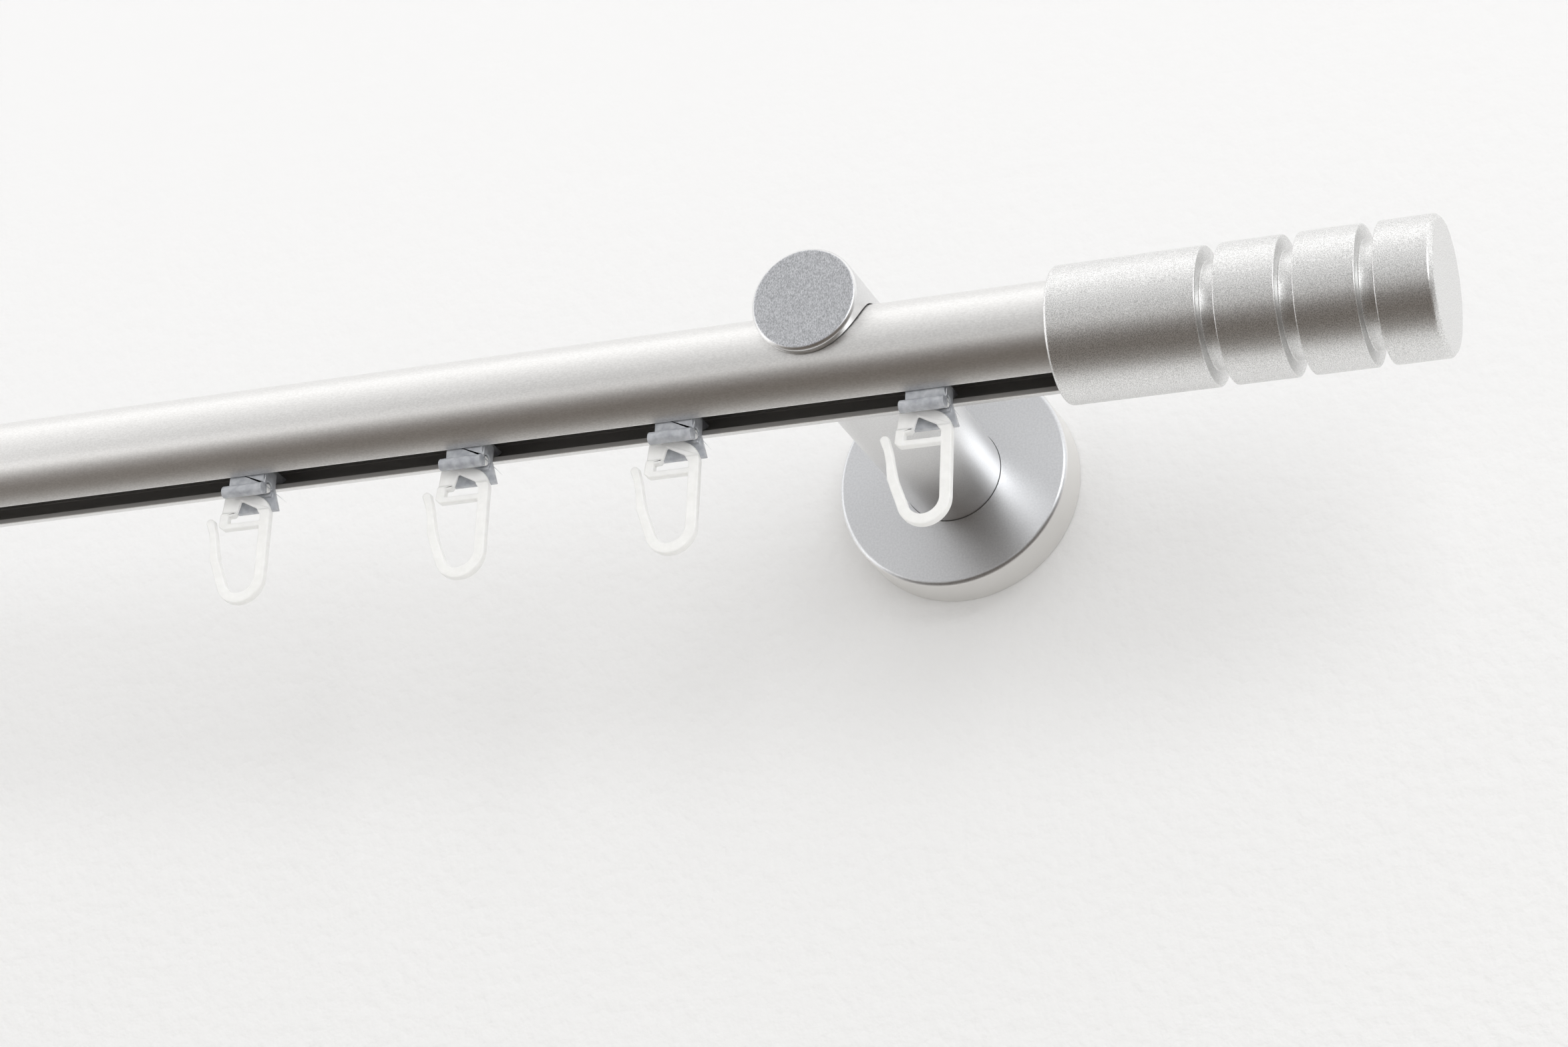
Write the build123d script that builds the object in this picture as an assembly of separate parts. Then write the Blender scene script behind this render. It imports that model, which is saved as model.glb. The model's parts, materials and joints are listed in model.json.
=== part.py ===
from build123d import *
import os

# Wall-mounted curtain rod with an inner track, in millimetres.
# Frame: the origin is the centre of the right wall plate's back face, +X runs along the rod
# to the right-hand finial, +Y points into the wall and +Z is up.

# Rod: an aluminium tube whose slotted underside is the track for the gliders
rod_diameter = 20.0
rod_length = 1000.0
rod_wall = 1.1
track_slot_width = 5.5
track_slot_shift = -1.5       # the slot's middle, from the rod's axis towards the room
track_web_thickness = 1.1
track_web_drop = 2.3          # from the rod's axis down to the web's top

# Finial: a turned aluminium end piece that slides over the rod
finial_diameter = 24.7
finial_length = 67.8
finial_socket_depth = 22.0
finial_socket_clearance = 0.15
finial_groove_count = 3
finial_groove_width = 3.0
finial_groove_first = 27.0    # rim to the first groove
finial_groove_pitch = 13.8
finial_core_diameter = 18.9
finial_edge_chamfer = 0.35
finial_end_chamfer = 0.8
finial_screw_inset = 12.0

# Bracket: a round bar, cut by the rod, that stands on a round base at the wall
bracket_inset = 44.6          # finial rim to the bracket's axis
bracket_projection = 77.0     # wall to the rod's axis
stem_diameter = 20.0
stem_above_rod = 8.0          # stem axis above the rod's axis
stem_nose = 12.0              # front face in front of the rod's axis
stem_chamfer = 0.5
saddle_clearance = 0.2
base_diameter = 47.0
base_height = 8.8
base_front_wall = 2.5
base_side_wall = 1.8
base_chamfer = 0.6
base_hole_clearance = 0.1
wall_plate_thickness = 3.0
wall_plate_clearance = 0.25
wall_hole_diameter = 4.5
wall_hole_spacing = 28.0
countersink_diameter = 8.6
hub_diameter = 14.0
hub_length = 20.0
hub_clearance = 0.1

# Set screws
screw_clearance = 0.1
clamp_screw_diameter = 5.0
clamp_screw_recess = 0.9
stem_screw_diameter = 4.0
stem_screw_recess = 0.4
stem_screw_gap = 5.5          # base cover to the screw's axis
finial_screw_diameter = 4.0
finial_screw_recess = 0.3
hex_share = 0.5               # width across flats, as a share of the diameter
hex_depth_share = 0.45

# Gliders: plastic runners that hang in the track, drawn from the slot's middle
glider_count = 10
glider_rim_gap = 24.2         # right finial's rim to the first glider's centre
glider_near_gaps = (47.9, 41.8, 45.4)
glider_left_margin = 24.0     # left finial's rim to the last glider's centre
glider_clearance = 0.3
runner_length = 5.0
runner_height = 3.2
neck_length = 7.3
front_bar_diameter = 2.3
front_bar_length = 8.4
front_bar_shift = -0.25       # the bar's middle, left of the glider's middle
front_bar_offset = 2.7        # in front of the slot's middle
front_bar_drop = 11.85        # below the rod's axis
front_block_rise = 0.9        # the block's underside, from the bar up to the trough
rear_plate_thickness = 1.1
rear_plate_bottom = 14.7      # below the rod's axis
rear_plate_flare = 1.4
ear_radius = 2.0
ear_shift = 2.0
ear_thickness = 0.8

# Hinge of the hook: a moulded pin in the glider's trough
pin_diameter = 1.8
pin_drop = 10.8               # below the rod's axis
pin_half_length = 3.6
pin_clearance = 0.25
trough_half_width = 0.8

# Pleat hooks, flat, in the plane of the slot's middle; heights are below the rod's axis
hook_thickness = 1.6
hook_web_thickness = 0.9
hook_web_bottom = 15.2
hook_arm_x = 3.6
hook_arm_width = 2.1
hook_depth = 33.8
hook_bend_width = 2.1
hook_bend_rise = 4.9          # lowest point up to where the bend meets the arm
hook_bend_centre = -0.6
hook_head_left = -5.5
hook_head_top = 11.9
hook_bar_top = 17.4
hook_bar_bottom = 18.6
hook_slot_top = 16.0
hook_shoulder_start = 0.6
hook_shoulder_drop = 4.3      # head's top down to the shoulder's outer end

# The free arm: x, height above the hook's lowest point and width, from the bend to the tip
hook_elbow = (-4.2, 3.7, 2.1)
hook_knee = (-6.3, 9.3, 1.9)
hook_waist = (-6.75, 12.3, 1.5)
hook_neck = (-7.2, 14.7, 1.5)
hook_tip = (-7.95, 16.9, 1.7)

# Places that follow from the sizes above
rod_radius = rod_diameter / 2
inner_radius = rod_radius - rod_wall
rod_y = -bracket_projection
rod_z = -stem_above_rod
finial_rim_right = bracket_inset
rod_end_right = finial_rim_right + finial_socket_depth
rod_end_left = rod_end_right - rod_length
finial_rim_left = rod_end_left + finial_socket_depth
bracket_left_x = finial_rim_left + bracket_inset
rod_middle_x = (rod_end_left + rod_end_right) / 2
rod_axis = Pos(0, rod_y, rod_z)


def disc_y(radius, y_front, y_back):
    """A round bar along Y between two places, front at the smaller Y."""
    bar = Plane.XZ * Circle(radius)
    return Pos(0, y_back, 0) * extrude(bar, y_back - y_front)


def set_screw(diameter, length):
    """A hex socket set screw that stands on its tip, its axis on +Z."""
    tip_chamfer = diameter * 0.15
    body = Pos(0, 0, length / 2) * Cylinder(diameter / 2, length)
    body = chamfer(body.edges().sort_by(Axis.Z)[0], tip_chamfer)
    flat_to_corner = 3 ** 0.5
    hexagon = RegularPolygon(diameter * hex_share / flat_to_corner, 6)
    depth = length * hex_depth_share
    return body - Pos(0, 0, length - depth) * extrude(hexagon, depth)


def track_rod():
    """The extruded tube, with the web that closes the track above the gliders."""
    tube = Circle(rod_radius) - Circle(inner_radius)
    web_middle = -track_web_drop - track_web_thickness / 2
    web = Pos(0, web_middle) * Rectangle(rod_diameter, track_web_thickness)
    web = web & Circle(rod_radius - rod_wall / 2)
    slot = Pos(track_slot_shift, -rod_radius) * Rectangle(track_slot_width, rod_radius)
    section = tube + web - slot
    return Pos(rod_end_left, rod_y, rod_z) * extrude(Plane.YZ * section, rod_length)


def finial():
    """The right-hand finial: lands and turned grooves on one axis."""
    radius = finial_diameter / 2
    core = finial_core_diameter / 2
    edge = finial_edge_chamfer
    end_edge = finial_end_chamfer
    profile = [(0, 0), (0, radius - edge), (edge, radius)]
    for index in range(finial_groove_count):
        start = finial_groove_first + index * finial_groove_pitch
        end = start + finial_groove_width
        profile += [(start, radius), (start, core), (end, core), (end, radius)]
    profile += [(finial_length - end_edge, radius), (finial_length, radius - end_edge),
                (finial_length, 0)]
    turned = revolve(make_face(Polyline(*profile, close=True)), Axis.X)
    socket = extrude(Plane.YZ * Circle(rod_radius + finial_socket_clearance), finial_socket_depth)
    hole_radius = finial_screw_diameter / 2 + screw_clearance
    hole = Pos(finial_screw_inset, 0, 0) * disc_y(hole_radius, 0, finial_diameter)
    return Pos(finial_rim_right, rod_y, rod_z) * (turned - socket - hole)


def finial_screw():
    """The set screw at the back of the right-hand finial, with its tip at the rod."""
    length = finial_diameter / 2 - rod_radius - screw_clearance - finial_screw_recess
    screw = Rot(-90, 0, 0) * set_screw(finial_screw_diameter, length)
    x = finial_rim_right + finial_screw_inset
    return Pos(x, rod_y + rod_radius + screw_clearance, rod_z) * screw


def bracket_stem():
    """The round bar that carries the rod in a saddle and is bored for the wall plate's hub."""
    front = rod_y - stem_nose
    radius = stem_diameter / 2
    bar = disc_y(radius, front, -wall_plate_thickness)
    bar = chamfer(bar.edges().sort_by(Axis.Y)[0], stem_chamfer)
    saddle = extrude(Plane.YZ * Circle(rod_radius + saddle_clearance), stem_diameter, both=True)
    hub_bore = disc_y(hub_diameter / 2 + hub_clearance,
                      -wall_plate_thickness - hub_length - hub_clearance, 0)
    clamp_hole = Cylinder(clamp_screw_diameter / 2 + screw_clearance, stem_diameter,
                          align=(Align.CENTER, Align.CENTER, Align.MIN))
    stem_hole = Cylinder(stem_screw_diameter / 2 + screw_clearance, stem_diameter,
                         align=(Align.CENTER, Align.CENTER, Align.MIN))
    bar = bar - rod_axis * saddle - hub_bore
    bar = bar - Pos(0, rod_y, rod_z + rod_radius / 2) * clamp_hole
    return bar - Pos(0, -base_height - stem_screw_gap, 0) * stem_hole


def rod_clamp_screw():
    """The set screw from the top of the stem down onto the rod."""
    tip = rod_z + rod_radius + screw_clearance
    length = stem_diameter / 2 - clamp_screw_recess - tip
    return Pos(0, rod_y, tip) * set_screw(clamp_screw_diameter, length)


def stem_screw():
    """The set screw that holds the stem on the wall plate's hub."""
    tip = hub_diameter / 2 + screw_clearance
    length = stem_diameter / 2 - stem_screw_recess - tip
    return Pos(0, -base_height - stem_screw_gap, tip) * set_screw(stem_screw_diameter, length)


def base_cover():
    """The turned cup that hides the wall plate, with a shadow gap round the stem."""
    radius = base_diameter / 2
    cup = disc_y(radius, -base_height, 0)
    cup = chamfer(cup.edges().sort_by(Axis.Y)[0], base_chamfer)
    hollow = disc_y(radius - base_side_wall, -base_height + base_front_wall, 0)
    hole = disc_y(stem_diameter / 2 + base_hole_clearance, -base_height, 0)
    return cup - hollow - hole


def wall_plate():
    """The screwed disc and the hub that the stem sits on."""
    radius = base_diameter / 2 - base_side_wall - wall_plate_clearance
    plate = disc_y(radius, -wall_plate_thickness, 0)
    hub = disc_y(hub_diameter / 2, -wall_plate_thickness - hub_length, 0)
    hole_radius = wall_hole_diameter / 2
    sink_radius = countersink_diameter / 2
    sink_depth = sink_radius - hole_radius
    sink = Pos(0, -wall_plate_thickness + sink_depth / 2, 0) * Rot(90, 0, 0) * Cone(
        hole_radius, sink_radius, sink_depth)
    body = plate + hub
    for side in (-1, 1):
        place = Pos(side * wall_hole_spacing / 2, 0, 0)
        body = body - place * disc_y(hole_radius, -wall_plate_thickness, 0) - place * sink
    return body


def glider():
    """A runner, its neck through the slot, and the trough with front bar and rear plate."""
    run_radius = inner_radius - glider_clearance
    neck_half = track_slot_width / 2 - glider_clearance
    half_length = neck_length / 2
    bar_radius = front_bar_diameter / 2
    bar_bottom = front_bar_drop + bar_radius
    plate_face = neck_half - rear_plate_thickness
    runner_middle = -run_radius + runner_height / 2
    runner = Circle(run_radius) & Pos(0, runner_middle) * Rectangle(rod_diameter, runner_height)
    neck = make_face(Polyline(
        (-neck_half, runner_middle), (neck_half, runner_middle), (neck_half, -rear_plate_bottom),
        (plate_face, -rear_plate_bottom), (plate_face, -bar_bottom + front_block_rise),
        (-trough_half_width, -bar_bottom + front_block_rise), (-front_bar_offset, -bar_bottom),
        (-front_bar_offset, -front_bar_drop + bar_radius),
        (-neck_half, -front_bar_drop + bar_radius), close=True))
    neck = Pos(track_slot_shift, 0) * neck
    bar = Pos(track_slot_shift - front_bar_offset, -front_bar_drop) * Circle(bar_radius)
    pocket = Pos(track_slot_shift, -pin_drop) * Circle(pin_diameter / 2 + pin_clearance)
    trough_height = rear_plate_bottom - pin_drop + 1
    trough = Pos(track_slot_shift, -pin_drop - trough_height / 2) * Rectangle(
        2 * trough_half_width, trough_height)

    body = extrude(Plane.YZ * runner, runner_length / 2, both=True)
    body += extrude(Plane.YZ * neck, half_length, both=True)
    front_bar = extrude(Plane.YZ * bar, front_bar_length / 2, both=True)
    body += Pos(front_bar_shift, 0, 0) * front_bar
    flare = make_face(Polyline(
        (0, -rod_radius), (half_length, -rod_radius),
        (half_length + rear_plate_flare, -rear_plate_bottom), (0, -rear_plate_bottom), close=True))
    plate_back = track_slot_shift + neck_half
    body += Pos(0, plate_back, 0) * extrude(Plane.XZ * flare, rear_plate_thickness)
    ear_front = track_slot_shift - neck_half
    body += Pos(ear_shift, 0, -pin_drop) * disc_y(ear_radius, ear_front, ear_front + ear_thickness)
    reach = front_bar_length
    return (body - extrude(Plane.YZ * pocket, reach, both=True)
            - extrude(Plane.YZ * trough, reach, both=True))


def free_arm_points(side):
    """One side of the free arm, from above the elbow to the tip: 1 is towards the arm, -1 away."""
    return [(x + side * width / 2, -hook_depth + rise)
            for x, rise, width in (hook_knee, hook_waist, hook_neck, hook_tip)]


def pleat_hook():
    """The flat moulded hook: a pinned head with its window, the arm, the bend and the tip."""
    arm_out = hook_arm_x + hook_arm_width / 2
    arm_in = hook_arm_x - hook_arm_width / 2
    bend_top = -hook_depth + hook_bend_rise
    elbow_x, elbow_rise, elbow_width = hook_elbow
    elbow_step = elbow_width / 2 / 2 ** 0.5
    elbow_out = (elbow_x - elbow_step, -hook_depth + elbow_rise - elbow_step)
    elbow_in = (elbow_x + elbow_step, -hook_depth + elbow_rise + elbow_step)
    outside = free_arm_points(-1)
    inside = free_arm_points(1)
    tip_x, tip_rise, tip_width = hook_tip
    tip_top = (tip_x, -hook_depth + tip_rise + tip_width / 2)
    shoulder_top = (hook_shoulder_start, -hook_head_top)
    shoulder_end = (arm_out, -hook_head_top - hook_shoulder_drop)
    shoulder_middle = (arm_out - 1.0, -hook_head_top - 1.8)

    shoulder = ThreePointArc(shoulder_top, shoulder_middle, shoulder_end)
    arm_outside = Line(shoulder_end, (arm_out, bend_top))
    bend_outside = ThreePointArc((arm_out, bend_top), (hook_bend_centre, -hook_depth), elbow_out)
    free_outside = Polyline(elbow_out, *outside)
    tip = ThreePointArc(outside[-1], tip_top, inside[-1])
    free_inside = Polyline(*reversed(inside), elbow_in)
    bend_inside = ThreePointArc(elbow_in, (hook_bend_centre, -hook_depth + hook_bend_width),
                                (arm_in, bend_top))
    corner = 0.8
    head = Polyline((arm_in, bend_top), (arm_in, -hook_bar_bottom),
                    (hook_head_left + corner / 2, -hook_bar_bottom),
                    (hook_head_left - 3 * corner / 4, -hook_bar_bottom + corner),
                    (hook_head_left, -hook_head_top), (-pin_half_length, -hook_head_top),
                    (-pin_half_length, -pin_drop), (hook_shoulder_start, -pin_drop), shoulder_top)
    outline = make_face(shoulder + arm_outside + bend_outside + free_outside + tip
                        + free_inside + bend_inside + head)
    window_left = hook_head_left + 1.3
    window = make_face(Polyline(
        (window_left, -hook_bar_top), (arm_in, -hook_bar_top), (arm_in, -hook_bar_top + 1.1),
        (arm_in - 1.1, -hook_bar_top + 2.7), (-1.95, -hook_head_top - 1.0),
        (-2.7, -hook_slot_top + 0.5), (-3.1, -hook_slot_top), (window_left, -hook_slot_top),
        close=True))
    hook = extrude(Plane.XZ * (outline - window), hook_thickness / 2, both=True)
    thin_height = hook_web_bottom - pin_drop
    recess = Box(hook_depth, hook_thickness, thin_height,
                 align=(Align.CENTER, Align.MIN, Align.MIN))
    hook -= Pos(0, hook_web_thickness / 2, -hook_web_bottom) * recess
    hook -= Pos(0, -hook_web_thickness / 2 - hook_thickness, -hook_web_bottom) * recess
    pin = extrude(Plane.YZ * Circle(pin_diameter / 2), pin_half_length, both=True)
    return Pos(0, track_slot_shift, 0) * (hook + Pos(0, 0, -pin_drop) * pin)


def glider_places():
    """The gliders' X places: the near ones close together, the rest spread to the left end."""
    places = [finial_rim_right - glider_rim_gap]
    for gap in glider_near_gaps:
        places.append(places[-1] - gap)
    last = finial_rim_left + glider_left_margin
    rest = glider_count - len(places)
    pitch = (places[-1] - last) / rest
    for _ in range(rest):
        places.append(places[-1] - pitch)
    return places


os.makedirs("parts", exist_ok=True)
nodes = {"track_rod": track_rod()}
right_pieces = {"finial": finial(), "finial_screw": finial_screw()}
for name, piece in right_pieces.items():
    nodes[name + "_right"] = piece
    nodes[name + "_left"] = mirror(piece, about=Plane.YZ.offset(rod_middle_x))
bracket_pieces = {"bracket_stem": bracket_stem(), "rod_clamp_screw": rod_clamp_screw(),
                  "stem_screw": stem_screw(), "base_cover": base_cover(),
                  "wall_plate": wall_plate()}
for name, piece in bracket_pieces.items():
    nodes[name + "_right"] = piece
    nodes[name + "_left"] = Pos(bracket_left_x, 0, 0) * piece
one_glider = glider()
one_hook = pleat_hook()
for number, x in enumerate(glider_places(), start=1):
    nodes[f"glider_{number:02d}"] = Pos(x, rod_y, rod_z) * one_glider
    nodes[f"pleat_hook_{number:02d}"] = Pos(x, rod_y, rod_z) * one_hook
for name, piece in nodes.items():
    export_step(piece, os.path.join("parts", name + ".step"))
print(len(nodes), "nodes; gliders at", [round(x, 1) for x in glider_places()])
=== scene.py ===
import json
import math

import bmesh
import bpy
from mathutils import Matrix, Vector


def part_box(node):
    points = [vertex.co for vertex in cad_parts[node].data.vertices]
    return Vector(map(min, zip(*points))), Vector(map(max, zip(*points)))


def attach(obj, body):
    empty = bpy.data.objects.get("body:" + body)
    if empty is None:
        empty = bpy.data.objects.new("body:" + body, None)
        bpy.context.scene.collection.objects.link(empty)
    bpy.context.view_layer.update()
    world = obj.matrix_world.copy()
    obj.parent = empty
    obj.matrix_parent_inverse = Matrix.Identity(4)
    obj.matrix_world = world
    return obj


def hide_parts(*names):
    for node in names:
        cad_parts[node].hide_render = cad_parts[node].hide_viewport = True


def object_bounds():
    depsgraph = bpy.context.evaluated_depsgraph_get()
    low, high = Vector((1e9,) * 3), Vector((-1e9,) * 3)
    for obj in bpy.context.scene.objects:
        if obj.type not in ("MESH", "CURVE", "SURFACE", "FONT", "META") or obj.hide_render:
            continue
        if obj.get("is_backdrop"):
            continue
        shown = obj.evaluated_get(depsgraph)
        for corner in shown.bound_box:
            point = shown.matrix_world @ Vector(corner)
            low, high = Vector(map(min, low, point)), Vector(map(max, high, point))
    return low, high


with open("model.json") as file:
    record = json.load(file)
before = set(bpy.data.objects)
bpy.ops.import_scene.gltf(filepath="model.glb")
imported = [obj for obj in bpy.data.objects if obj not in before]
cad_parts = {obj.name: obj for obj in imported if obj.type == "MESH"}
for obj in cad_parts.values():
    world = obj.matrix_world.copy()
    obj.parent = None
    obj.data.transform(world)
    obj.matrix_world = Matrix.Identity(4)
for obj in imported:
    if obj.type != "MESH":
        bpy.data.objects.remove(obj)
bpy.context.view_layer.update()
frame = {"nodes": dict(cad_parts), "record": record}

nodes = frame["nodes"]
bodies = frame["record"]["behaviour"]["bodies"]
body_of = {name: body for body, names in bodies.items() for name in names}

# Camera, found from the photograph: places in metres, angles in degrees, lens and sensor in mm
CAMERA_PLACE = (0.2288, -0.6460, -0.2974)
CAMERA_YAW = -22.49
CAMERA_PITCH = 22.87
CAMERA_ROLL = -2.49
CAMERA_LENS = 86.9
CAMERA_SENSOR = 36.0
CAMERA_CLIP = (0.01, 50.0)

# Rounding of the CAD meshes' edges, in metres and degrees
WELD_DISTANCE = 1e-6
FLAT_ANGLE = 0.6
ROUND_ANGLE = 40.0
ROUND_SEGMENTS = 3
SHARP_ANGLE = 50.0
ROD_ROUND = 0.0002
FINIAL_ROUND = 0.00025
STEM_ROUND = 0.0002
BASE_ROUND = 0.0003
GLIDER_ROUND = 0.00018
HOOK_ROUND = 0.0003
BASE_BORE = 0.0115

# Finishes: depths in metres, other numbers as the shader takes them
GRAIN_DEPTH = 0.00002
PLASTIC_GRAIN = 700.0
PLASTIC_RELIEF = (0.15, 0.00005)
SUBSURFACE_SCALE = 0.001
TURNING = (0.5, 0.25)
# The base side's colour: satin metal, lighter and warmer as a painted reflection of the wall
BASE_SIDE_TONE_AND_REFLECTION = (0.85, 0.84, 0.82)
BASE_SIDE_BEGINS = (0.0003, 0.0006)
# Painted shade: the rod's darker colour inside its track
ROD_TRACK_SHADE = (0.36, 0.35, 0.34)
ROD_SKIN = 0.0001
STEM_FACE = [(0.34, (0.40, 0.41, 0.43)), (0.66, (0.73, 0.74, 0.77))]
STEM_FACE_GRAIN = (6500.0, (1.0, 1.0, 0.5), 3.0)
STEM_FACE_ENDS = (0.0001, 0.00005)

# Stage, in metres
WALL_GAP = 0.0003
WALL_SIZE = (7.0, 4.0)
WALL_CENTRE = (-0.4, 0.57)
HOLE_INSET = 0.0012
HOLE_SIDES = 48
FLOOR_DEPTH = 0.95
FLOOR_SIZE = 24.0

# The wall's tone has painted shade, darker low on the wall and lighter high; tone and relief change
# between two heights
WALL_SHADE = (-0.87, -0.42)
WALL_LOW_PAINTED_SHADE = (0.86, 0.86, 0.855)
WALL_HIGH = (0.93, 0.93, 0.935)
PLASTER_GRAIN = 340.0
PLASTER_RELIEF = (0.9, 0.03)
PLASTER_DEPTH = 0.001

# What metal sees in the floor, from the wall outwards, and in the room, from straight down to up
FLOOR_TONE = (0.60, 0.59, 0.575)
FLOOR_GLOW_REACH = 7.0
FLOOR_GLOW = [(0.0, (0.33, 0.31, 0.29)), (0.05, (0.168, 0.147, 0.128)),
              (0.12, (0.108, 0.086, 0.068)), (0.24, (0.105, 0.086, 0.072)),
              (0.58, (0.18, 0.165, 0.15)), (1.0, (0.33, 0.315, 0.30))]
ROOM_GLOW = [(0.30, (0.20, 0.197, 0.194)), (0.50, (0.34, 0.335, 0.33)),
             (0.56, (0.42, 0.415, 0.41)), (0.72, (0.615, 0.61, 0.605)),
             (0.87, (0.89, 0.885, 0.88)), (0.96, (1.16, 1.155, 1.15)),
             (1.0, (1.38, 1.375, 1.37))]
BACKDROP = (0.95, 0.95, 0.95)

# The room is brighter to the left, as beside a window: where along X it begins and is full,
# and how much; in the room it fades out between two heights
LEFT_FLOOR = (-0.7, -3.7, 1.85)
LEFT_SKY = (-0.46, -0.74, 1.0)
LEFT_SKY_FADE = (0.45, 0.95)

# Key lamp, in metres and watts
KEY_PLACE = (3.68, -6.72, 1.34)
KEY_SIZE = 4.2
KEY_POWER = 196.0
KEY_COLOUR = (0.985, 0.995, 1.0)


def tree(material):
    """The material's node tree and its shader."""
    material.use_nodes = True
    return material.node_tree, material.node_tree.nodes["Principled BSDF"]


def coordinate(nt, kind="Object"):
    """The place on the object, or another coordinate of its kind."""
    return nt.nodes.new("ShaderNodeTexCoord").outputs[kind]


def axes(nt, vector):
    """A vector's X, Y and Z."""
    node = nt.nodes.new("ShaderNodeSeparateXYZ")
    nt.links.new(vector, node.inputs["Vector"])
    return node.outputs


def map_range(nt, value, begins=0.0, ends=1.0, low=0.0, high=1.0):
    """Carries a value from one range to another, and holds it inside."""
    node = nt.nodes.new("ShaderNodeMapRange")
    node.inputs["From Min"].default_value = begins
    node.inputs["From Max"].default_value = ends
    node.inputs["To Min"].default_value = low
    node.inputs["To Max"].default_value = high
    nt.links.new(value, node.inputs["Value"])
    return node.outputs["Result"]


def vector_math(nt, operation, first, second=None):
    """One step of vector arithmetic; the second value is a socket or a constant."""
    node = nt.nodes.new("ShaderNodeVectorMath")
    node.operation = operation
    nt.links.new(first, node.inputs[0])
    if isinstance(second, bpy.types.NodeSocket):
        nt.links.new(second, node.inputs[1])
    elif second is not None:
        node.inputs[1].default_value = second
    return node.outputs["Value" if operation == "LENGTH" else "Vector"]


def object_noise(nt, scale, stretch=(1.0, 1.0, 1.0), detail=2.0):
    """Noise in the object's own space, stretched along its axes."""
    mapping = nt.nodes.new("ShaderNodeMapping")
    mapping.inputs["Scale"].default_value = stretch
    noise = nt.nodes.new("ShaderNodeTexNoise")
    noise.inputs["Scale"].default_value = scale
    noise.inputs["Detail"].default_value = detail
    nt.links.new(coordinate(nt), mapping.inputs["Vector"])
    nt.links.new(mapping.outputs["Vector"], noise.inputs["Vector"])
    return noise.outputs["Fac"]


def ramp(nt, source, stops):
    """The colour that (place, colour) stops give for a value."""
    node = nt.nodes.new("ShaderNodeValToRGB")
    elements = node.color_ramp.elements
    while len(elements) < len(stops):
        elements.new(0.5)
    for element, (place, colour) in zip(elements, stops):
        element.position = place
        element.color = (*colour, 1.0)
    nt.links.new(source, node.inputs["Fac"])
    return node.outputs["Color"]


def relief(nt, shader, height, strength, depth):
    """Bumps the shader's surface; the strength is a number or a socket."""
    node = nt.nodes.new("ShaderNodeBump")
    node.inputs["Distance"].default_value = depth
    if isinstance(strength, bpy.types.NodeSocket):
        nt.links.new(strength, node.inputs["Strength"])
    else:
        node.inputs["Strength"].default_value = strength
    nt.links.new(height, node.inputs["Height"])
    nt.links.new(node.outputs["Normal"], shader.inputs["Normal"])


def mix_surface(nt, output, factor, first, second):
    """Makes a mix of two shaders the surface of a material or the world."""
    mix = nt.nodes.new("ShaderNodeMixShader")
    nt.links.new(factor, mix.inputs["Fac"])
    nt.links.new(first, mix.inputs[1])
    nt.links.new(second, mix.inputs[2])
    nt.links.new(mix.outputs["Shader"], nt.nodes[output].inputs["Surface"])


def metal(name, dark, light, roughness, grain, stretch=(1, 1, 1), bump=0.1, spread=0.2):
    """A metal whose tone, roughness and bump follow a grain; a small spread makes it crisp."""
    material = bpy.data.materials.new(name)
    nt, shader = tree(material)
    shader.inputs["Metallic"].default_value = 1.0
    noise = object_noise(nt, grain, stretch)
    tone = ramp(nt, noise, [(0.5 - spread, dark), (0.5 + spread, light)])
    rough = map_range(nt, noise, low=roughness * 0.9, high=roughness * 1.1)
    nt.links.new(tone, shader.inputs["Base Color"])
    nt.links.new(rough, shader.inputs["Roughness"])
    relief(nt, shader, noise, bump, GRAIN_DEPTH)
    return material


def plastic(name, dark, light, roughness, subsurface, radius, transmission=0.0):
    """A translucent moulded plastic, faintly mottled."""
    material = bpy.data.materials.new(name)
    nt, shader = tree(material)
    noise = object_noise(nt, PLASTIC_GRAIN)
    tone = ramp(nt, noise, [(0.3, dark), (0.7, light)])
    nt.links.new(tone, shader.inputs["Base Color"])
    shader.inputs["Roughness"].default_value = roughness
    shader.inputs["Subsurface Weight"].default_value = subsurface
    shader.inputs["Subsurface Radius"].default_value = radius
    shader.inputs["Subsurface Scale"].default_value = SUBSURFACE_SCALE
    shader.inputs["Transmission Weight"].default_value = transmission
    relief(nt, shader, noise, *PLASTIC_RELIEF)
    return material


def part_mask(nt, shader, inside, colour, roughness, metallic=1.0):
    """Blends another finish in where a mask is 1; the colour is three numbers or a socket."""
    for socket, value in (("Base Color", colour), ("Roughness", roughness), ("Metallic", metallic)):
        blend = nt.nodes.new("ShaderNodeMix")
        blend.data_type = "RGBA" if socket == "Base Color" else "FLOAT"
        a, b = [s for s in blend.inputs if s.enabled and s.name in ("A", "B")]
        if shader.inputs[socket].links:
            nt.links.new(shader.inputs[socket].links[0].from_socket, a)
        else:
            a.default_value = shader.inputs[socket].default_value
        if isinstance(value, bpy.types.NodeSocket):
            nt.links.new(value, b)
        elif socket == "Base Color":
            b.default_value = (*value, 1.0)
        else:
            b.default_value = value
        factor = [s for s in blend.inputs if s.enabled and s.name == "Factor"][0]
        result = [s for s in blend.outputs if s.enabled][0]
        nt.links.new(inside, factor)
        nt.links.new(result, shader.inputs[socket])


def radius_mask(nt, centre, limit, softness):
    """1 nearer to a line along X than a limit, 0 outside."""
    offset = vector_math(nt, "SUBTRACT", coordinate(nt), centre)
    distance = vector_math(nt, "LENGTH", vector_math(nt, "MULTIPLY", offset, (0, 1, 1)))
    return map_range(nt, distance, limit, limit - softness)


def depth_mask(nt, begins, ends):
    """0 at one depth along Y and 1 at another."""
    return map_range(nt, axes(nt, coordinate(nt))["Y"], begins, ends)


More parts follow.
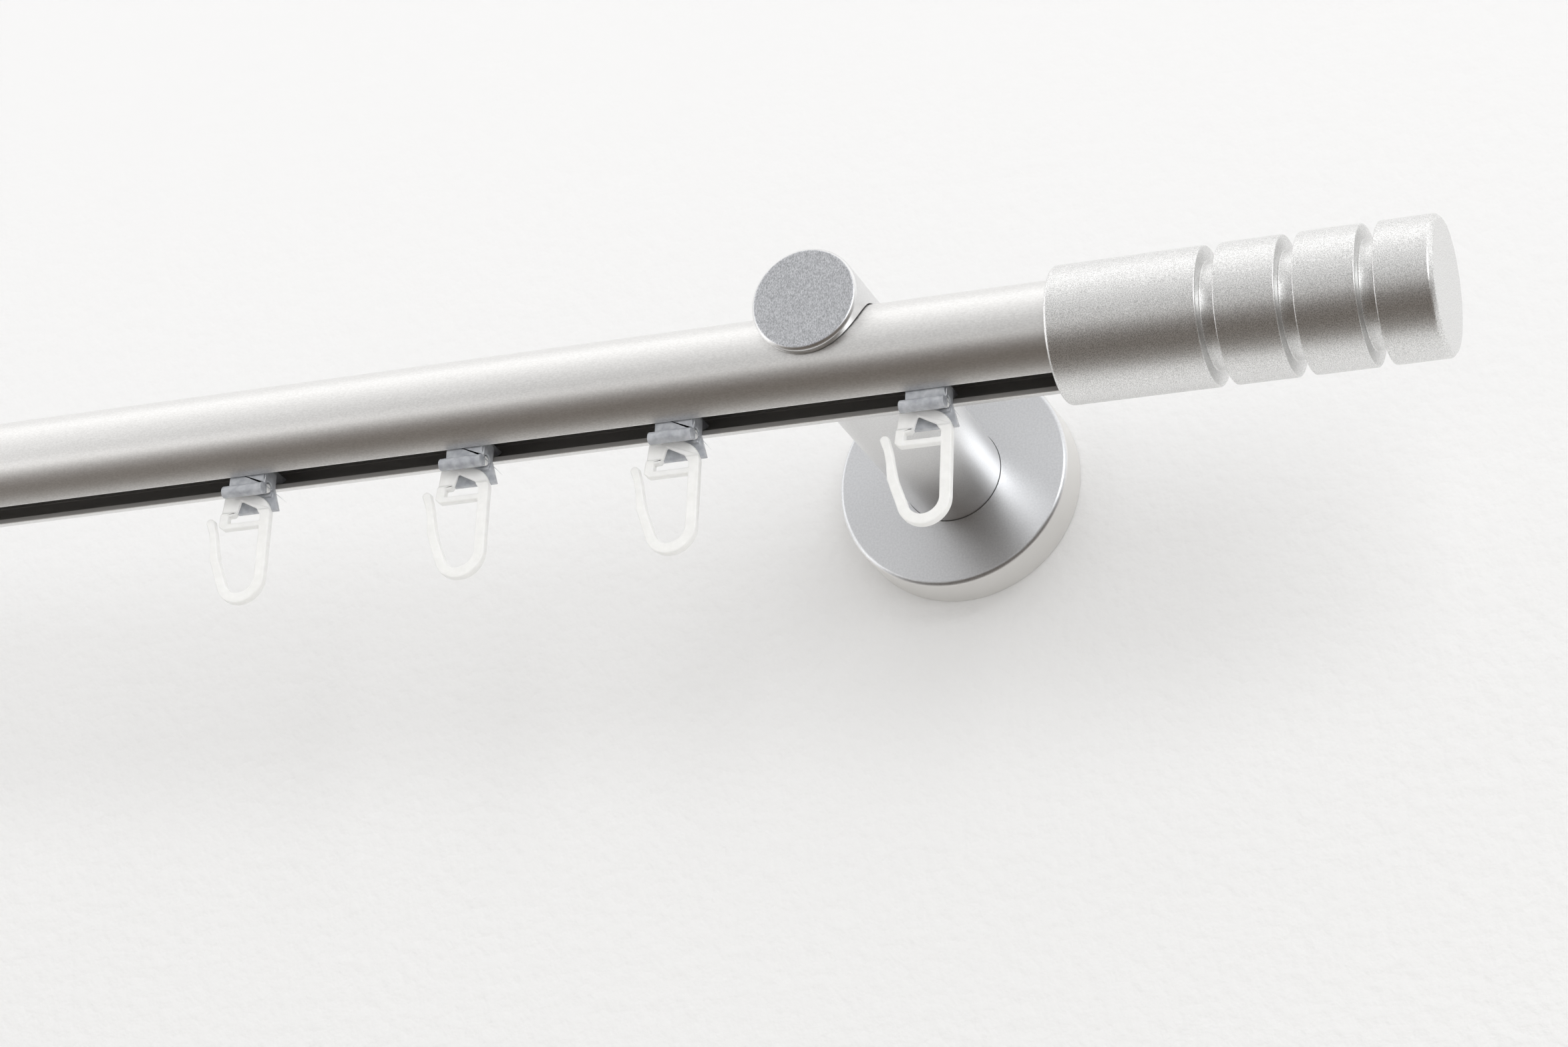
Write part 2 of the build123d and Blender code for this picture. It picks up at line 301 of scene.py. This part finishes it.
def brighter_left(nt, x, tones, begins, ends, amount, limit=None):
    """Adds light towards -X to a tone; a limit is a socket that scales it."""
    share = map_range(nt, x, begins, ends, high=amount)
    if limit is not None:
        scaled = nt.nodes.new("ShaderNodeMath")
        scaled.operation = "MULTIPLY"
        nt.links.new(share, scaled.inputs[0])
        nt.links.new(limit, scaled.inputs[1])
        share = scaled.outputs[0]
    return vector_math(nt, "ADD", tones, share)


def dress(name, material):
    """Gives a CAD node its material."""
    mesh = nodes[name].data
    mesh.materials.clear()
    mesh.materials.append(material)


def soften(name, width, material, bore=0.0):
    """A copy of a CAD node with rounded edges, which stands for it; a bore's edge stays sharp."""
    mesh = nodes[name].data.copy()
    work = bmesh.new()
    work.from_mesh(mesh)
    bmesh.ops.remove_doubles(work, verts=work.verts, dist=WELD_DISTANCE)
    bmesh.ops.dissolve_limit(work, angle_limit=math.radians(FLAT_ANGLE), verts=work.verts,
                             edges=work.edges)
    low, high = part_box(name)
    middle = Vector(((low[0] + high[0]) / 2, 0, (low[2] + high[2]) / 2))
    sharp = [edge for edge in work.edges
             if len(edge.link_faces) == 2 and edge.calc_face_angle() > math.radians(ROUND_ANGLE)
             and min((Vector((v.co.x, 0, v.co.z)) - middle).length for v in edge.verts) >= bore]
    bmesh.ops.bevel(work, geom=sharp, offset=width, segments=ROUND_SEGMENTS, profile=0.5,
                    affect="EDGES", clamp_overlap=False)
    for face in work.faces:
        face.smooth = True
    work.to_mesh(mesh)
    work.free()
    mesh.set_sharp_from_angle(angle=math.radians(SHARP_ANGLE))
    piece = bpy.data.objects.new(f"{name}_rounded", mesh)
    bpy.context.scene.collection.objects.link(piece)
    normals = piece.modifiers.new("normals", "WEIGHTED_NORMAL")
    normals.keep_sharp = True
    graph = bpy.context.evaluated_depsgraph_get()
    finished = bpy.data.meshes.new_from_object(piece.evaluated_get(graph))
    piece.modifiers.clear()
    piece.data = finished
    finished.materials.clear()
    finished.materials.append(material)
    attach(piece, body_of[name])
    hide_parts(name)


def plane(name, size_x, size_y, matrix, material, holes=()):
    """A flat staged rectangle, with round holes given as (x, y, radius)."""
    mesh = bpy.data.meshes.new(name)
    half_x, half_y = size_x / 2, size_y / 2
    loops = [[(-half_x, -half_y), (half_x, -half_y), (half_x, half_y), (-half_x, half_y)]]
    turns = [2 * math.pi * i / HOLE_SIDES for i in range(HOLE_SIDES)]
    for x, y, radius in holes:
        loops.append([(x + radius * math.cos(a), y + radius * math.sin(a)) for a in turns])
    work = bmesh.new()
    for loop in loops:
        corners = [work.verts.new((x, y, 0)) for x, y in loop]
        for first, second in zip(corners, corners[1:] + corners[:1]):
            work.edges.new((first, second))
    bmesh.ops.triangle_fill(work, use_beauty=True, edges=work.edges, normal=(0, 0, 1))
    work.to_mesh(mesh)
    work.free()
    mesh.materials.append(material)
    piece = bpy.data.objects.new(name, mesh)
    piece.matrix_world = matrix
    bpy.context.scene.collection.objects.link(piece)
    piece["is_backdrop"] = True


def wall_paint():
    """White painted plaster, with painted shade that darkens it towards the bottom, which shows
    from the room's side only.
    """
    material = bpy.data.materials.new("wall_paint")
    nt, shader = tree(material)
    height = map_range(nt, axes(nt, coordinate(nt))["Y"], *WALL_SHADE)
    # Painted shade: the tone darkens towards the bottom of the wall
    tone = ramp(nt, height, [(0.0, WALL_LOW_PAINTED_SHADE), (1.0, WALL_HIGH)])
    nt.links.new(tone, shader.inputs["Base Color"])
    shader.inputs["Roughness"].default_value = 0.9
    shader.inputs["Specular IOR Level"].default_value = 0.1
    strength = map_range(nt, height, low=PLASTER_RELIEF[0], high=PLASTER_RELIEF[1])
    relief(nt, shader, object_noise(nt, PLASTER_GRAIN, detail=4.0), strength, PLASTER_DEPTH)
    back = nt.nodes.new("ShaderNodeNewGeometry").outputs["Backfacing"]
    clear = nt.nodes.new("ShaderNodeBsdfTransparent")
    mix_surface(nt, "Material Output", back, shader.outputs["BSDF"], clear.outputs["BSDF"])
    return material


def floor_paint():
    """A pale floor that metal reflects as it does a dim room's floor."""
    material = bpy.data.materials.new("floor_paint")
    nt, shader = tree(material)
    shader.inputs["Base Color"].default_value = (*FLOOR_TONE, 1)
    shader.inputs["Roughness"].default_value = 0.9
    place = axes(nt, coordinate(nt))
    tones = ramp(nt, map_range(nt, place["Y"], 0.0, -FLOOR_GLOW_REACH), FLOOR_GLOW)
    glow = nt.nodes.new("ShaderNodeEmission")
    nt.links.new(brighter_left(nt, place["X"], tones, *LEFT_FLOOR), glow.inputs["Color"])
    path = nt.nodes.new("ShaderNodeLightPath")
    mix_surface(nt, "Material Output", path.outputs["Is Glossy Ray"], shader.outputs["BSDF"],
                glow.outputs["Emission"])
    return material


def world_light():
    """A plain room: bright above, dimmer towards and below the horizon."""
    world = bpy.data.worlds.new("room")
    bpy.context.scene.world = world
    world.use_nodes = True
    nt = world.node_tree
    direction = coordinate(nt, "Generated")
    across = vector_math(nt, "NORMALIZE", vector_math(nt, "MULTIPLY", direction, (0, 1, 1)))
    rise = axes(nt, across)["Z"]
    tones = ramp(nt, map_range(nt, rise, begins=-1.0), ROOM_GLOW)
    low_sky = map_range(nt, rise, LEFT_SKY_FADE[1], LEFT_SKY_FADE[0])
    room = nt.nodes["Background"]
    left = brighter_left(nt, axes(nt, direction)["X"], tones, *LEFT_SKY, low_sky)
    nt.links.new(left, room.inputs["Color"])
    backdrop = nt.nodes.new("ShaderNodeBackground")
    backdrop.inputs["Color"].default_value = (*BACKDROP, 1)
    path = nt.nodes.new("ShaderNodeLightPath")
    mix_surface(nt, "World Output", path.outputs["Is Camera Ray"], room.outputs["Background"],
                backdrop.outputs["Background"])


def key_light():
    """A soft square lamp that points at the part's origin."""
    data = bpy.data.lights.new("key", "AREA")
    data.shape = "SQUARE"
    data.size = KEY_SIZE
    data.energy = KEY_POWER
    data.color = KEY_COLOUR
    lamp = bpy.data.objects.new("key", data)
    lamp.location = KEY_PLACE
    lamp.rotation_mode = "QUATERNION"
    lamp.rotation_quaternion = (-Vector(KEY_PLACE)).to_track_quat("-Z", "Y")
    bpy.context.scene.collection.objects.link(lamp)


def photo_camera():
    """The camera at the photograph's place, turned by yaw, pitch and roll."""
    yaw, pitch, roll = (math.radians(a) for a in (CAMERA_YAW, CAMERA_PITCH, CAMERA_ROLL))
    forward = Vector((math.sin(yaw) * math.cos(pitch), math.cos(yaw) * math.cos(pitch),
                      math.sin(pitch)))
    level_right = Vector((math.cos(yaw), -math.sin(yaw), 0))
    level_down = forward.cross(level_right)
    right = math.cos(roll) * level_right + math.sin(roll) * level_down
    down = math.cos(roll) * level_down - math.sin(roll) * level_right
    data = bpy.data.cameras.new("photo_camera")
    data.lens = CAMERA_LENS
    data.sensor_width = CAMERA_SENSOR
    data.clip_start, data.clip_end = CAMERA_CLIP
    camera = bpy.data.objects.new("photo_camera", data)
    turn = Matrix((right, -down, -forward)).transposed().to_4x4()
    camera.matrix_world = Matrix.Translation(CAMERA_PLACE) @ turn
    bpy.context.scene.collection.objects.link(camera)
    bpy.context.scene.camera = camera


# Materials: darkest and lightest tone, roughness and size of the grain
rod_metal = metal("rod_satin", (0.77, 0.765, 0.755), (0.90, 0.895, 0.885), 0.38, 4200.0,
                  stretch=(0.5, 1, 1), bump=0.1)
finial_metal = metal("finial_blasted", (0.62, 0.62, 0.615), (1.0, 1.0, 0.995), 0.40, 5800.0,
                     bump=0.8, spread=0.12)
stem_metal = metal("stem_blasted", (0.75, 0.75, 0.75), (0.83, 0.83, 0.83), 0.34, 3200.0)
base_metal = metal("base_turned", (0.68, 0.69, 0.71), (0.77, 0.78, 0.80), 0.37, 2500.0)
plate_metal = metal("plate_zinc", (0.55, 0.56, 0.57), (0.66, 0.67, 0.68), 0.35, 400.0)
screw_metal = metal("screw_dark", (0.20, 0.20, 0.21), (0.30, 0.30, 0.31), 0.35, 1500.0)
glider_plastic = plastic("glider_frosted", (0.47, 0.49, 0.53), (0.70, 0.72, 0.76), 0.16,
                         subsurface=0.1, radius=(1.2, 1.2, 1.3), transmission=0.3)
tree(glider_plastic)[1].inputs["Specular IOR Level"].default_value = 0.9
hook_plastic = plastic("hook_milky", (0.84, 0.84, 0.825), (0.89, 0.89, 0.875), 0.30,
                       subsurface=0.6, radius=(2.0, 2.0, 1.9))

# The base's front is turned, so its gloss runs round the centre; its side is plain satin, with a
# lighter, warmer colour that is partly its own and partly a painted reflection of the wall
nt, shader = tree(base_metal)
turning = nt.nodes.new("ShaderNodeTangent")
turning.direction_type = "RADIAL"
turning.axis = "Y"
nt.links.new(turning.outputs["Tangent"], shader.inputs["Tangent"])
shader.inputs["Anisotropic"].default_value = TURNING[0]
shader.inputs["Anisotropic Rotation"].default_value = TURNING[1]
base_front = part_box("base_cover_right")[0][1]
side_reflection_mask = depth_mask(nt, base_front + BASE_SIDE_BEGINS[0], base_front + BASE_SIDE_BEGINS[1])
part_mask(nt, shader, side_reflection_mask, BASE_SIDE_TONE_AND_REFLECTION, 0.40)

# The rod is duller inside its track, and darker there as painted shade of the recess
rod_low, rod_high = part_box("track_rod")
rod_radius = (rod_high[1] - rod_low[1]) / 2
rod_centre = ((rod_low[0] + rod_high[0]) / 2, (rod_low[1] + rod_high[1]) / 2,
              rod_high[2] - rod_radius)
nt, shader = tree(rod_metal)
# The mask marks where the painted shade inside the track goes
inside = radius_mask(nt, rod_centre, rod_radius - ROD_SKIN, ROD_SKIN)
part_mask(nt, shader, inside, ROD_TRACK_SHADE, 0.5, metallic=0.3)

# The stem's front face is blasted grey
stem_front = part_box("bracket_stem_right")[0][1]
nt, shader = tree(stem_metal)
face_tone = ramp(nt, object_noise(nt, *STEM_FACE_GRAIN), STEM_FACE)
face = depth_mask(nt, stem_front + STEM_FACE_ENDS[0], stem_front + STEM_FACE_ENDS[1])
part_mask(nt, shader, face, face_tone, 0.42)

# Pieces
for side in ("right", "left"):
    soften(f"finial_{side}", FINIAL_ROUND, finial_metal)
    soften(f"bracket_stem_{side}", STEM_ROUND, stem_metal)
    soften(f"base_cover_{side}", BASE_ROUND, base_metal, BASE_BORE)
    for part in ("finial_screw", "rod_clamp_screw", "stem_screw"):
        dress(f"{part}_{side}", screw_metal)
    dress(f"wall_plate_{side}", plate_metal)
soften("track_rod", ROD_ROUND, rod_metal)
for name in nodes:
    if name.startswith("glider_"):
        soften(name, GLIDER_ROUND, glider_plastic)
    if name.startswith("pleat_hook_"):
        soften(name, HOOK_ROUND, hook_plastic)

# Stage, light and camera; the wall is open behind each base, so that its back can be seen
holes = []
for side in ("right", "left"):
    low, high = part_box(f"base_cover_{side}")
    holes.append(((low[0] + high[0]) / 2 - WALL_CENTRE[0], (low[2] + high[2]) / 2 - WALL_CENTRE[1],
                  (high[0] - low[0]) / 2 - HOLE_INSET))
upright = Matrix.Rotation(math.radians(90), 4, "X")
plane("wall", *WALL_SIZE, Matrix.Translation((WALL_CENTRE[0], WALL_GAP, WALL_CENTRE[1])) @ upright,
      wall_paint(), holes)
plane("floor", FLOOR_SIZE, FLOOR_SIZE, Matrix.Translation((WALL_CENTRE[0], 0, -FLOOR_DEPTH)),
      floor_paint())
world_light()
key_light()
photo_camera()
bpy.context.scene.view_settings.view_transform = "Standard"

low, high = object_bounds()
